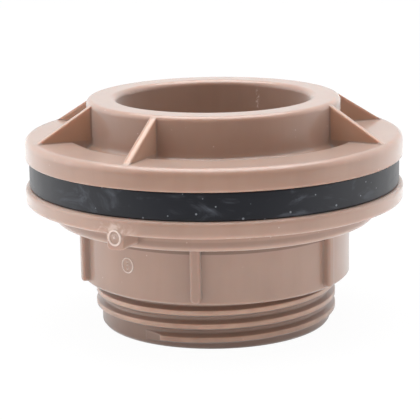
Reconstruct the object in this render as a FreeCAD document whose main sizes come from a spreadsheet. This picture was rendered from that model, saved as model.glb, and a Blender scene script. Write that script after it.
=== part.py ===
import FreeCAD, Part
import math
import os

import Sketcher

# Tank connector: a flanged pipe socket with a threaded tail, a sealing ring and a flange nut.
# Millimetres, +Z up along the common axis, the tail's end at z = 0, the viewer's side at -Y.

DIMENSIONS = {
    # Pipe socket and hub
    "socket_radius": 16.75,
    "socket_depth": 22.0,
    "mouth_round": 0.95,
    "hub_wall": 5.05,
    "hub_height": 6.3,
    "rim_round": 0.85,
    # Stop ring between the socket and the tail's bore
    "stop_ledge": 2.55,
    "stop_thickness": 2.2,
    "stop_slope": 1.8,
    # Tail and its bore
    "tail_wall": 3.25,
    "tail_show": 8.46,
    "tail_lead_run": 0.3,
    "tail_lead_rise": 0.4,
    "tail_bore_step": 0.35,
    "tail_bore_chamfer": 0.5,
    # Thread, a 1 1/4 inch parallel pipe thread with flattened crests and roots
    "pitch": 2.309,
    "depth_per_pitch": 0.4136,
    "crest_per_pitch": 0.312,
    "flank_slope": 0.5206,
    "thread_sink": 0.15,
    "thread_gap": 0.22,
    "flank_gap": 0.12,
    "ridge_lead": 0.715,
    "ridge_angle": -126.0,
    "neck_length": 2.4,
    # Ramp where the tail's ridge begins
    "ramp_step": 0.12,
    "ramp_length": 3.4,
    "ramp_drop": 0.5,
    "ramp_margin": 0.5,
    # Flange of the body
    "flange_overhang": 10.7,
    "flange_thickness": 3.71,
    "flange_round": 1.05,
    "flange_low_round": 0.35,
    "groove_width": 3.5,
    "groove_inner_run": 0.95,
    "groove_depth": 1.15,
    "groove_inner_drop": 0.45,
    # Ribs of the body, in two groups with a bare sector between them
    "rib_thickness": 1.15,
    "rib_setback": 1.25,
    "rib_drop": 0.4,
    "rib_sink": 0.6,
    "rib_angle": -26.5,
    "rib_sweep": 90.0,
    "rib_count": 3,
    # Sealing ring
    "ring_thickness": 4.73,
    "ring_setback": 0.6,
    "ring_gap": 0.45,
    "ring_round": 0.35,
    # Flange nut
    "nut_wall": 2.225,
    "nut_hub_length": 10.07,
    "nut_end_chamfer": 0.4,
    "tier_step": 4.5,
    "tier_thickness": 3.29,
    "tier_round": 1.05,
    "tier_neck_round": 0.5,
    "nut_flange_proud": 0.1,
    "nut_flange_thickness": 2.71,
    "nut_flange_round": 0.55,
    "nut_ridge_lead": 0.2,
    "nut_ridge_length": 10.6,
    # Grip ribs of the nut
    "grip_width": 1.7,
    "grip_height": 1.2,
    "grip_lift": 0.6,
    "grip_round": 0.8,
    "grip_edge_round": 0.45,
    "grip_sink": 0.6,
    "grip_angle": -37.9,
    "grip_sweep": 360.0,
    "grip_count": 6,
    # Gate lug under the nut's flange
    "lug_width": 3.0,
    "lug_lift": 0.87,
    "lug_setback": 0.1,
    "lug_round": 0.7,
    "lug_sink": 0.8,
    "lug_angle": -119.1,
}

FULL_TURN = 360.0
HALF_TURN = 180.0
EDGE_REACH = 1e-4


class Size:
    """A number together with the sheet formula that gives it."""

    def __init__(self, number, formula):
        self.number = number
        self.formula = formula

    def joined(self, sign, other, number):
        """A new size from two sizes, or a size and a plain number."""
        text = other.formula if isinstance(other, Size) else str(other)
        return Size(number, f"({self.formula} {sign} {text})")

    def __add__(self, other):
        return self.joined("+", other, self.number + plain(other))

    def __sub__(self, other):
        return self.joined("-", other, self.number - plain(other))

    def __mul__(self, other):
        return self.joined("*", other, self.number * plain(other))

    def __truediv__(self, other):
        return self.joined("/", other, self.number / plain(other))


def plain(item):
    """The number of a size, or the number itself."""
    return item.number if isinstance(item, Size) else float(item)


doc = FreeCAD.newDocument("tank_connector")
sheet = doc.addObject("Spreadsheet::Sheet", "dims")
for row, (alias, number) in enumerate(DIMENSIONS.items(), start=1):
    sheet.set(f"A{row}", alias)
    sheet.set(f"B{row}", str(number))
    sheet.setAlias(f"B{row}", alias)
doc.recompute()


def size(alias):
    """A driving dimension of the sheet."""
    return Size(float(DIMENSIONS[alias]), f"dims.{alias}")


def new_body(name):
    """An empty body with its label and a fixed placement."""
    body = doc.addObject("PartDesign::Body", name)
    body.Label = name
    body.Placement = FreeCAD.Placement()
    return body


def origin_feature(body, role):
    """One of the body's own origin planes or axes."""
    for feature in body.Origin.OriginFeatures:
        if feature.Role == role:
            return feature
    raise RuntimeError(f"no {role} in {body.Name}")


def bind(item, path, amount):
    """Tie a property to its sheet formula."""
    item.setExpression(path, amount.formula)


def new_sketch(body, name, role, angle=None, offset=None):
    """A sketch on an origin plane, turned about the axis and set off along its normal."""
    sketch = body.newObject("Sketcher::SketchObject", name)
    sketch.AttachmentSupport = [(origin_feature(body, role), "")]
    sketch.MapMode = "FlatFace"
    if angle is None:
        return sketch
    upright = FreeCAD.Vector(0, 0, 1) if role == "XY_Plane" else FreeCAD.Vector(0, 1, 0)
    turn = FreeCAD.Rotation(upright, angle.number)
    away = FreeCAD.Vector(0, 0, offset.number if offset else 0)
    sketch.AttachmentOffset = FreeCAD.Placement(turn.multVec(away), turn)
    bind(sketch, "AttachmentOffset.Rotation.Angle", angle)
    if offset:
        sketch.setExpression("AttachmentOffset.Base.x", f"{offset.formula} * sin({angle.formula})")
        sketch.setExpression("AttachmentOffset.Base.z", f"{offset.formula} * cos({angle.formula})")
    return sketch


def constrain(sketch, label, amount, kind, *places):
    """A named sketch dimension tied to the sheet."""
    index = sketch.addConstraint(Sketcher.Constraint(kind, *places, amount.number))
    sketch.renameConstraint(index, label)
    bind(sketch, f"Constraints.{label}", amount)


def outline(sketch, corners):
    """A closed outline of straight lines; a corner is its distance out, its height and its name."""
    points = [FreeCAD.Vector(plain(out), plain(up), 0) for out, up, _ in corners]
    count = len(points)
    for index in range(count):
        sketch.addGeometry(Part.LineSegment(points[index], points[(index + 1) % count]), False)
    for index in range(count):
        sketch.addConstraint(Sketcher.Constraint("Coincident", index, 2, (index + 1) % count, 1))
    for index, (out, up, name) in enumerate(corners):
        constrain(sketch, f"{name}_out", out, "DistanceX", -1, 1, index, 1)
        if isinstance(up, Size):
            constrain(sketch, f"{name}_up", up, "DistanceY", -1, 1, index, 1)
        else:
            sketch.addConstraint(Sketcher.Constraint("PointOnObject", index, 1, -1))


def rounded_tongue(sketch, width, bottom, top, corner):
    """A closed upright outline with rounded lower corners, even about the sketch's upright axis."""
    half = 0.5 * width.number
    low = bottom.number
    high = top.number
    r = corner.number
    at = FreeCAD.Vector
    normal = at(0, 0, 1)
    left = Part.Circle(at(r - half, low + r, 0), normal, r)
    right = Part.Circle(at(half - r, low + r, 0), normal, r)
    sketch.addGeometry(Part.LineSegment(at(-half, high, 0), at(-half, low + r, 0)), False)
    sketch.addGeometry(Part.ArcOfCircle(left, math.pi, 1.5 * math.pi), False)
    sketch.addGeometry(Part.LineSegment(at(r - half, low, 0), at(half - r, low, 0)), False)
    sketch.addGeometry(Part.ArcOfCircle(right, 1.5 * math.pi, 2.0 * math.pi), False)
    sketch.addGeometry(Part.LineSegment(at(half, low + r, 0), at(half, high, 0)), False)
    sketch.addGeometry(Part.LineSegment(at(half, high, 0), at(-half, high, 0)), False)
    for first, second in ((0, 1), (1, 2), (2, 3), (3, 4)):
        sketch.addConstraint(Sketcher.Constraint("Tangent", first, 2, second, 1))
    for first, second in ((4, 5), (5, 0)):
        sketch.addConstraint(Sketcher.Constraint("Coincident", first, 2, second, 1))
    for side in (0, 4):
        sketch.addConstraint(Sketcher.Constraint("Vertical", side))
    sketch.addConstraint(Sketcher.Constraint("Horizontal", 2))
    sketch.addConstraint(Sketcher.Constraint("Equal", 1, 3))
    sketch.addConstraint(Sketcher.Constraint("Symmetric", 4, 2, 0, 1, -2))
    constrain(sketch, "tongue_round", corner, "Radius", 1)
    constrain(sketch, "tongue_width", width, "DistanceX", 0, 1, 4, 2)
    constrain(sketch, "tongue_top", top, "DistanceY", -1, 1, 0, 1)
    constrain(sketch, "tongue_bottom", bottom, "DistanceY", -1, 1, 2, 1)


def revolve(body, name, sketch):
    """A full turn of a section about the common axis."""
    turned = body.newObject("PartDesign::Revolution", name)
    turned.Profile = sketch
    turned.ReferenceAxis = (sketch, ["V_Axis"])
    turned.Angle = FULL_TURN
    doc.recompute()
    return turned


def round_edges(body, name, base, rings, amount):
    """Round circular edges found by their radius and height."""
    picked = []
    for radius, height in rings:
        for number, edge in enumerate(base.Shape.Edges, start=1):
            curve = edge.Curve
            if not isinstance(curve, Part.Circle):
                continue
            if math.isclose(curve.Radius, radius.number) and math.isclose(curve.Center.z, height.number):
                picked.append(f"Edge{number}")
    if len(picked) < len(rings):
        raise RuntimeError(f"{name}: edges not found")
    rounded = body.newObject("PartDesign::Fillet", name)
    rounded.Base = (base, picked)
    rounded.Radius = amount.number
    bind(rounded, "Radius", amount)
    doc.recompute()
    return rounded


def round_fronts(body, name, base, angle, count, reach, amount):
    """Round the edges about the outer face of each polar copy; reach is that face's distance out."""
    picked = set()
    for step in range(int(count.number)):
        bearing = math.radians(angle.number + step * FULL_TURN / count.number)
        outward = FreeCAD.Vector(math.cos(bearing), math.sin(bearing), 0)
        for number, edge in enumerate(base.Shape.Edges, start=1):
            middle = edge.valueAt(0.5 * (edge.FirstParameter + edge.LastParameter))
            places = [vertex.Point for vertex in edge.Vertexes] + [middle]
            if all(math.isclose(place.dot(outward), reach.number, abs_tol=EDGE_REACH) for place in places):
                picked.add(f"Edge{number}")
    if not picked:
        raise RuntimeError(f"{name}: edges not found")
    rounded = body.newObject("PartDesign::Fillet", name)
    rounded.Base = (base, sorted(picked))
    rounded.Radius = amount.number
    bind(rounded, "Radius", amount)
    doc.recompute()
    return rounded


def add_ridge(body, name, sketch, length):
    """A right-hand thread ridge swept up from its section."""
    ridge = body.newObject("PartDesign::AdditiveHelix", name)
    ridge.Profile = sketch
    ridge.ReferenceAxis = (sketch, ["V_Axis"])
    ridge.Mode = "pitch-height-angle"
    ridge.Pitch = pitch.number
    bind(ridge, "Pitch", pitch)
    ridge.Height = length.number
    bind(ridge, "Height", length)
    ridge.LeftHanded = False
    ridge.Reversed = False
    doc.recompute()
    return ridge


def add_pad(body, name, sketch, length, side="One side"):
    """A block raised from its sketch, on one side or evenly on both."""
    block = body.newObject("PartDesign::Pad", name)
    block.Profile = sketch
    block.SideType = side
    block.Length = length.number
    bind(block, "Length", length)
    doc.recompute()
    return block


def polar_copies(body, name, feature, sweep, count):
    """Copies of a feature about the common axis."""
    copies = body.newObject("PartDesign::PolarPattern", name)
    copies.Originals = [feature]
    copies.Axis = (origin_feature(body, "Z_Axis"), [""])
    copies.Angle = sweep.number
    bind(copies, "Angle", sweep)
    copies.Occurrences = int(count.number)
    bind(copies, "Occurrences", count)
    body.Tip = copies
    doc.recompute()
    return copies


# Thread form
pitch = size("pitch")
slope = size("flank_slope")
sink = size("thread_sink")
thread_gap = size("thread_gap")
thread_depth = pitch * size("depth_per_pitch")
crest_half = pitch * size("crest_per_pitch") * 0.5

# Radii, all from the pipe socket outwards
socket_radius = size("socket_radius")
stop_radius = socket_radius - size("stop_ledge")
tail_bore_radius = socket_radius - size("tail_bore_step")
root_radius = socket_radius + size("tail_wall")
crest_radius = root_radius + thread_depth
hub_radius = socket_radius + size("hub_wall")
flange_radius = hub_radius + size("flange_overhang")
ring_hole_radius = crest_radius + size("ring_gap")
ring_radius = flange_radius - size("ring_setback")
nut_bore_radius = crest_radius + thread_gap
nut_tip_radius = root_radius + thread_gap
nut_hub_radius = nut_bore_radius + size("nut_wall")
tier_radius = nut_hub_radius + size("tier_step")
nut_flange_radius = flange_radius + size("nut_flange_proud")

# Heights, stacked up from the tail's end
nut_bottom = size("tail_show")
tier_bottom = nut_bottom + size("nut_hub_length")
nut_flange_bottom = tier_bottom + size("tier_thickness")
ring_bottom = nut_flange_bottom + size("nut_flange_thickness")
flange_bottom = ring_bottom + size("ring_thickness")
flange_top = flange_bottom + size("flange_thickness")
rim_height = flange_top + size("hub_height")
groove_floor = flange_top - size("groove_depth")
stop_top = rim_height - size("socket_depth")
stop_bottom = stop_top - size("stop_thickness")

# Body: hub, flange and tail as one turned section
connector = new_body("connector_body")
bore_chamfer = size("tail_bore_chamfer")
section = new_sketch(connector, "body_section", "XZ_Plane")
outline(section, [
    (tail_bore_radius + bore_chamfer, 0, "bore_end"),
    (root_radius - size("tail_lead_run"), 0, "tail_end"),
    (root_radius, size("tail_lead_rise"), "tail_lead"),
    (root_radius, flange_bottom, "neck"),
    (flange_radius, flange_bottom, "flange_low"),
    (flange_radius, flange_top, "flange_edge"),
    (hub_radius + size("groove_width"), flange_top, "groove_outer"),
    (hub_radius + size("groove_inner_run"), groove_floor, "groove_low"),
    (hub_radius, flange_top - size("groove_inner_drop"), "hub_foot"),
    (hub_radius, rim_height, "rim_edge"),
    (socket_radius, rim_height, "mouth"),
    (socket_radius, stop_top, "socket_end"),
    (stop_radius, stop_top, "stop_upper"),
    (stop_radius, stop_bottom, "stop_lower"),
    (tail_bore_radius, stop_bottom - size("stop_slope"), "bore_top"),
    (tail_bore_radius, bore_chamfer, "bore_lead"),
])
turned_body = revolve(connector, "body_turned", section)
rim_rounded = round_edges(
    connector, "rim_rounded", turned_body, [(hub_radius, rim_height)], size("rim_round"))
mouth_rounded = round_edges(
    connector, "mouth_rounded", rim_rounded, [(socket_radius, rim_height)], size("mouth_round"))
edge_rounded = round_edges(
    connector, "flange_edge_rounded", mouth_rounded, [(flange_radius, flange_top)], size("flange_round"))
round_edges(
    connector, "flange_low_rounded", edge_rounded, [(flange_radius, flange_bottom)],
    size("flange_low_round"))

# Six ribs in two groups of three, half a turn apart
rib_sink = size("rib_sink")
rib_tip_radius = flange_radius - size("rib_setback")
rib_top = rim_height - size("rib_drop")
rib_angles = {"front": size("rib_angle"), "back": size("rib_angle") + HALF_TURN}
for group, rib_angle in rib_angles.items():
    rib_sketch = new_sketch(connector, f"rib_{group}_section", "XZ_Plane", rib_angle)
    outline(rib_sketch, [
        (hub_radius - rib_sink, groove_floor - rib_sink, "foot_inner"),
        (rib_tip_radius, groove_floor - rib_sink, "foot_outer"),
        (rib_tip_radius, flange_top, "tip"),
        (hub_radius, rib_top, "shoulder"),
        (hub_radius - rib_sink, rib_top, "top_inner"),
    ])
    rib = add_pad(connector, f"rib_{group}", rib_sketch, size("rib_thickness"), "Symmetric")
    polar_copies(connector, f"ribs_{group}", rib, size("rib_sweep"), size("rib_count"))

# Right-hand thread on the tail, with a ramp where the ridge begins
ridge_angle = size("ridge_angle")
ridge_half = crest_half + slope * (thread_depth + sink)
ridge_middle = ridge_half + size("ridge_lead")
ridge_sketch = new_sketch(connector, "ridge_section", "XZ_Plane", ridge_angle)
outline(ridge_sketch, [
    (root_radius - sink, ridge_middle - ridge_half, "lower_root"),
    (crest_radius, ridge_middle - crest_half, "lower_crest"),
    (crest_radius, ridge_middle + crest_half, "upper_crest"),
    (root_radius - sink, ridge_middle + ridge_half, "upper_root"),
])
add_ridge(connector, "tail_ridge", ridge_sketch, flange_bottom - size("neck_length") - ridge_middle)

ramp_margin = size("ramp_margin")
ramp_length = size("ramp_length")
ramp_start = root_radius + size("ramp_step")
ramp_end = crest_radius - size("ramp_drop")
ramp_sketch = new_sketch(connector, "ramp_outline", "XY_Plane", ridge_angle)
outline(ramp_sketch, [
    (ramp_start, 0, "foot"),
    (crest_radius + ramp_margin, 0, "corner"),
    (crest_radius + ramp_margin, ramp_length, "far"),
    (ramp_end, ramp_length, "top"),
])
volume_before = connector.Shape.Volume
ramp = connector.newObject("PartDesign::Pocket", "ridge_ramp")
ramp.Profile = ramp_sketch
ramp.Reversed = True
ramp_height = ridge_middle + ridge_half
ramp.Length = ramp_height.number
bind(ramp, "Length", ramp_height)
doc.recompute()
if connector.Shape.Volume >= volume_before:
    raise RuntimeError("the ramp cut nothing")

# Ring of rubber between the flange and the nut
seal = new_body("sealing_ring")
seal_sketch = new_sketch(seal, "ring_section", "XZ_Plane")
outline(seal_sketch, [
    (ring_hole_radius, ring_bottom, "hole_low"),
    (ring_radius, ring_bottom, "edge_low"),
    (ring_radius, flange_bottom, "edge_top"),
    (ring_hole_radius, flange_bottom, "hole_top"),
])
seal_turned = revolve(seal, "ring_turned", seal_sketch)
round_edges(
    seal, "ring_rounded", seal_turned, [(ring_radius, ring_bottom), (ring_radius, flange_bottom)],
    size("ring_round"))

# Nut: flange, tier and hub as one turned section
nut = new_body("flange_nut")
end_chamfer = size("nut_end_chamfer")
nut_sketch = new_sketch(nut, "nut_section", "XZ_Plane")
outline(nut_sketch, [
    (nut_bore_radius + end_chamfer, nut_bottom, "mouth"),
    (nut_hub_radius - end_chamfer, nut_bottom, "hub_end"),
    (nut_hub_radius, nut_bottom + end_chamfer, "hub_lead"),
    (nut_hub_radius, tier_bottom, "hub_top"),
    (tier_radius, tier_bottom, "tier_low"),
    (tier_radius, nut_flange_bottom, "tier_top"),
    (nut_flange_radius, nut_flange_bottom, "flange_low"),
    (nut_flange_radius, ring_bottom, "flange_edge"),
    (nut_bore_radius, ring_bottom, "bore_top"),
    (nut_bore_radius, nut_bottom + end_chamfer, "bore_lead"),
])
nut_turned = revolve(nut, "nut_turned", nut_sketch)
nut_edges_rounded = round_edges(
    nut, "nut_flange_rounded", nut_turned,
    [(nut_flange_radius, nut_flange_bottom), (nut_flange_radius, ring_bottom)], size("nut_flange_round"))
tier_rounded = round_edges(
    nut, "tier_rounded", nut_edges_rounded, [(tier_radius, tier_bottom)], size("tier_round"))
round_edges(
    nut, "tier_neck_rounded", tier_rounded, [(nut_hub_radius, tier_bottom)], size("tier_neck_round"))

# Six grip ribs up the nut's hub
grip_sink = size("grip_sink")
grip_sketch = new_sketch(
    nut, "grip_outline", "YZ_Plane", size("grip_angle"), nut_hub_radius - grip_sink)
rounded_tongue(
    grip_sketch, size("grip_width"), nut_bottom + size("grip_lift"), tier_bottom + grip_sink,
    size("grip_round"))
grip = add_pad(nut, "grip", grip_sketch, grip_sink + size("grip_height"))
grips = polar_copies(nut, "grips", grip, size("grip_sweep"), size("grip_count"))
round_fronts(
    nut, "grips_rounded", grips, size("grip_angle"), size("grip_count"), nut_hub_radius + size("grip_height"),
    size("grip_edge_round"))

# Gate lug under the nut's flange
lug_sink = size("lug_sink")
lug_inner_radius = tier_radius - lug_sink
lug_sketch = new_sketch(nut, "lug_outline", "YZ_Plane", size("lug_angle"), lug_inner_radius)
rounded_tongue(
    lug_sketch, size("lug_width"), tier_bottom + size("lug_lift"), nut_flange_bottom + lug_sink,
    size("lug_round"))
add_pad(nut, "lug", lug_sketch, nut_flange_radius - size("lug_setback") - lug_inner_radius)

# Right-hand thread in the nut, turned so that it runs midway between the tail's ridges
nut_tip_half = pitch * 0.5 - crest_half - slope * (thread_depth - thread_gap) - size("flank_gap")
nut_base_half = nut_tip_half + slope * (thread_depth + sink)
nut_middle = nut_bottom + size("nut_ridge_lead") + nut_base_half
ridge_gap = nut_middle - ridge_middle - pitch * 0.5
nut_ridge_sketch = new_sketch(
    nut, "nut_ridge_section", "XZ_Plane", ridge_angle + ridge_gap / pitch * FULL_TURN)
outline(nut_ridge_sketch, [
    (nut_tip_radius, nut_middle - nut_tip_half, "tip_low"),
    (nut_bore_radius + sink, nut_middle - nut_base_half, "base_low"),
    (nut_bore_radius + sink, nut_middle + nut_base_half, "base_high"),
    (nut_tip_radius, nut_middle + nut_tip_half, "tip_high"),
])
add_ridge(nut, "nut_ridge", nut_ridge_sketch, size("nut_ridge_length"))

# Check every feature, then write one file for each piece
doc.recompute()
faulty = [item.Name for item in doc.Objects if {"Invalid", "Error", "Touched"} & set(item.State)]
if faulty:
    raise RuntimeError(f"features not built: {faulty}")
os.makedirs("parts", exist_ok=True)
for body in (connector, seal, nut):
    shape = body.Shape
    if shape.isNull() or not shape.isValid() or len(shape.Solids) != 1:
        raise RuntimeError(f"{body.Label} is not one sound solid")
    shape.exportStep(f"parts/{body.Label}.step")
    print(body.Label, round(shape.Volume, 2), shape.optimalBoundingBox(False))
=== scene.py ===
"""A plastic tank connector with its rubber ring and back nut, dressed for a soft studio picture."""

import logging
import math
from dataclasses import dataclass
from enum import Enum
from functools import cache
from typing import Dict, Optional, Sequence, Tuple

import bpy
from mathutils import Matrix, Vector


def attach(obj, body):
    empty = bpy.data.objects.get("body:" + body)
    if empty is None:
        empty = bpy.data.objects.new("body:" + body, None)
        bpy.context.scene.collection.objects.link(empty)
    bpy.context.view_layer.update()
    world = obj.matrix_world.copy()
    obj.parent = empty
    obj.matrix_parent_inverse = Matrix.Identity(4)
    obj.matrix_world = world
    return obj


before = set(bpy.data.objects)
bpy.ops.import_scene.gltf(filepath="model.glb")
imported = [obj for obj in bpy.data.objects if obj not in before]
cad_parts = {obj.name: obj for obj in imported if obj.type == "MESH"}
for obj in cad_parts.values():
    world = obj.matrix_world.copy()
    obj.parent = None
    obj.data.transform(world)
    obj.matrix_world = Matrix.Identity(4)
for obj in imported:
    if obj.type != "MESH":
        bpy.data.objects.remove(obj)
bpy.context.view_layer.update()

Colour = Tuple[float, float, float]
Point = Tuple[float, float, float]
Span = Tuple[float, float]

LOG = logging.getLogger("tank_connector")
PICTURE_PIXELS = 420
MM = 0.001
SURFACE_IOR = 1.5
EDGE_SAMPLES = 8
DOT_TO_BEAD = 1.25
COLUMN_WIDTH = 220.0
WHITE = (1.0, 1.0, 1.0, 1.0)


class Body(Enum):
    """The moving group that the added pieces ride on."""

    NUT = "nut"


class Slot(Enum):
    """The part's own finish slot; nothing in the script uses it."""

    NUT = "nut"


class Piece(Enum):
    """The solids of the part."""

    CONNECTOR_BODY = "connector_body"
    SEALING_RING = "sealing_ring"
    FLANGE_NUT = "flange_nut"


class NodeSheet:
    """A short way to lay out shader or geometry nodes in one tree."""

    def __init__(self, tree: bpy.types.NodeTree) -> None:
        """Keeps the tree and starts its first column.

        Args:
            tree: The node tree to fill.
        """
        self.tree = tree
        self.column = 0

    def add(self, kind: str, settings: Optional[Dict[str, object]] = None,
            **values: object) -> bpy.types.Node:
        """Adds a node and fills its unlinked sockets.

        Args:
            kind: The node's type name.
            settings: Properties of the node itself.
            **values: Socket values by name, with underscores for spaces.

        Returns:
            The new node.
        """
        node = self.tree.nodes.new(kind)
        node.location = (COLUMN_WIDTH * self.column, 0.0)
        self.column += 1
        for name, value in (settings or {}).items():
            setattr(node, name, value)
        for name, value in values.items():
            node.inputs[name.replace("_", " ")].default_value = value
        return node

    def link(self, source: bpy.types.NodeSocket, target: bpy.types.NodeSocket) -> None:
        """Joins two sockets."""
        self.tree.links.new(source, target)

    def group(self, tree: bpy.types.NodeTree, **values: object) -> bpy.types.Node:
        """Places a shared group with its own values.

        Args:
            tree: The group's tree.
            **values: Socket values by name, with underscores for spaces.

        Returns:
            The new node.
        """
        return self.add("ShaderNodeGroup", {"node_tree": tree}, **values)

    def close(self, shader: bpy.types.Node, kind: str = "ShaderNodeOutputMaterial") -> None:
        """Ends the tree with an output of the given kind."""
        self.link(shader.outputs[0], self.add(kind).inputs["Surface"])

    def times(self, first: object, second: object) -> bpy.types.NodeSocket:
        """Adds the product of two values, each a number or a socket."""
        return self.math("MULTIPLY", first, second)

    def plus(self, first: object, second: object, clamp: bool = False) -> bpy.types.NodeSocket:
        """Adds the sum of two values, each a number or a socket, kept from 0 to 1 if asked."""
        return self.math("ADD", first, second, clamp)

    def minus(self, first: object, second: object) -> bpy.types.NodeSocket:
        """Adds the difference of two values, each a number or a socket."""
        return self.math("SUBTRACT", first, second)

    def math(self, operation: str, first: object, second: object = 0.0,
             clamp: bool = False) -> bpy.types.NodeSocket:
        """Adds one step of arithmetic on two values, each a number or a socket.

        Args:
            operation: The name of the step.
            first: First value.
            second: Second value.
            clamp: Whether the result stays from 0 to 1.

        Returns:
            The result's socket.
        """
        node = self.add("ShaderNodeMath", {"operation": operation, "use_clamp": clamp})
        for index, value in enumerate((first, second)):
            if isinstance(value, bpy.types.NodeSocket):
                self.link(value, node.inputs[index])
            else:
                node.inputs[index].default_value = value
        return node.outputs[0]

    def ramp(self, value: bpy.types.NodeSocket, low: float, high: float) -> bpy.types.NodeSocket:
        """Adds a smooth step that is 0 at low and 1 at high.

        Args:
            value: The socket to read.
            low: Where the step starts.
            high: Where the step ends.

        Returns:
            The step's socket.
        """
        node = self.add("ShaderNodeMapRange", {"interpolation_type": "SMOOTHSTEP"})
        node.inputs["From Min"].default_value = low
        node.inputs["From Max"].default_value = high
        self.link(value, node.inputs["Value"])
        return node.outputs["Result"]

    def turned(self) -> Tuple[bpy.types.NodeSocket, bpy.types.NodeSocket]:
        """Adds the distance from the upright axis and the height, both in the piece's own frame.

        Returns:
            The distance's socket and the height's socket.
        """
        place = self.add("ShaderNodeTexCoord")
        split = self.add("ShaderNodeSeparateXYZ")
        self.link(place.outputs["Object"], split.inputs[0])
        flat = self.add("ShaderNodeCombineXYZ")
        self.link(split.outputs["X"], flat.inputs["X"])
        self.link(split.outputs["Y"], flat.inputs["Y"])
        radius = self.add("ShaderNodeVectorMath", {"operation": "LENGTH"})
        self.link(flat.outputs[0], radius.inputs[0])
        return radius.outputs["Value"], split.outputs["Z"]

    def mix(self, factor: object, first: object, second: object) -> bpy.types.NodeSocket:
        """Adds a colour mix.

        Args:
            factor: Share of the second colour, a number or a socket.
            first: First colour, a colour or a socket.
            second: Second colour, a colour or a socket.

        Returns:
            The mixed colour's socket.
        """
        node = self.add("ShaderNodeMix", {"data_type": "RGBA"})
        colours = [socket for socket in node.inputs if socket.type == "RGBA"]
        for socket, value in zip([node.inputs[0]] + colours, (factor, first, second)):
            if isinstance(value, bpy.types.NodeSocket):
                self.link(value, socket)
            elif isinstance(value, tuple):
                socket.default_value = (*value, 1.0)
            else:
                socket.default_value = value
        return next(socket for socket in node.outputs if socket.type == "RGBA")


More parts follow.
